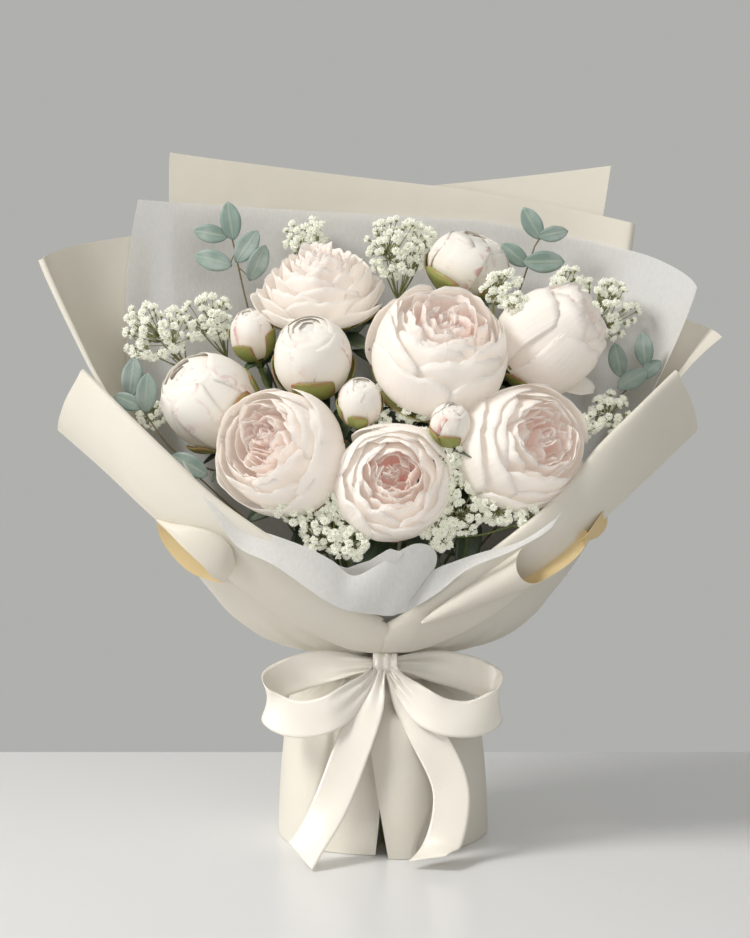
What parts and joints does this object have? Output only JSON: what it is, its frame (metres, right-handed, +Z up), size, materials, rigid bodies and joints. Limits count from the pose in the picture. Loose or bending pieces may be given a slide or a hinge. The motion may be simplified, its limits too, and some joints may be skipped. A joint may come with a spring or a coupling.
{
  "type": "bunch of peonies",
  "caption": "Standing hand-tied bunch of peonies with gypsophila and eucalyptus, wrapped in folded paper and tissue over a paper skirt, tied with a satin bow.",
  "frame": {"origin": "bottom centre of the whole bunch's box, on the surface that it stands on", "axes": "+Z up, the front of the bunch faces -Y, +X to its right as seen from the front"},
  "size_m": [0.569, 0.2522, 0.5828],
  "materials": {
    "petal": "soft, creamy white to blush pink petals",
    "floret": "small white double florets on green stems",
    "leaf": "matt blue-green waxy leaves",
    "paper": "matt cream wrapping paper",
    "tissue": "translucent white tissue",
    "ribbon": "cream satin",
    "twine": "plain jute"
  },
  "bodies": {
    "root": {"peony_back_left": "petal", "peony_centre_right": "petal", "peony_right": "petal", "peony_front_left": "petal", "peony_front_middle": "petal", "peony_front_right": "petal", "peony_ball_left": "petal", "peony_ball_middle": "petal", "peony_ball_top": "petal", "peony_bud_left": "petal", "peony_bud_middle": "petal", "peony_bud_right": "petal", "gypsophila_top": "floret", "gypsophila_back_left": "floret", "gypsophila_left": "floret", "gypsophila_left_inner": "floret", "gypsophila_centre": "floret", "gypsophila_top_right": "floret", "gypsophila_right": "floret", "gypsophila_right_low": "floret", "gypsophila_front_left": "floret", "gypsophila_front_right": "floret", "eucalyptus_top_left": "leaf", "eucalyptus_left": "leaf", "eucalyptus_top_right": "leaf", "eucalyptus_right": "leaf", "eucalyptus_front_left": "leaf", "paper_long": "paper", "paper_back": "paper", "paper_side_left": "paper", "paper_side_right": "paper", "paper_bowl_left": "paper", "paper_bowl_right": "paper", "paper_cuff_left": "paper", "paper_cuff_right": "paper", "paper_skirt": "paper", "tissue_back": "tissue", "tissue_front": "tissue", "ribbon_bow": "ribbon", "twine": "twine"}
  },
  "joints": []
}
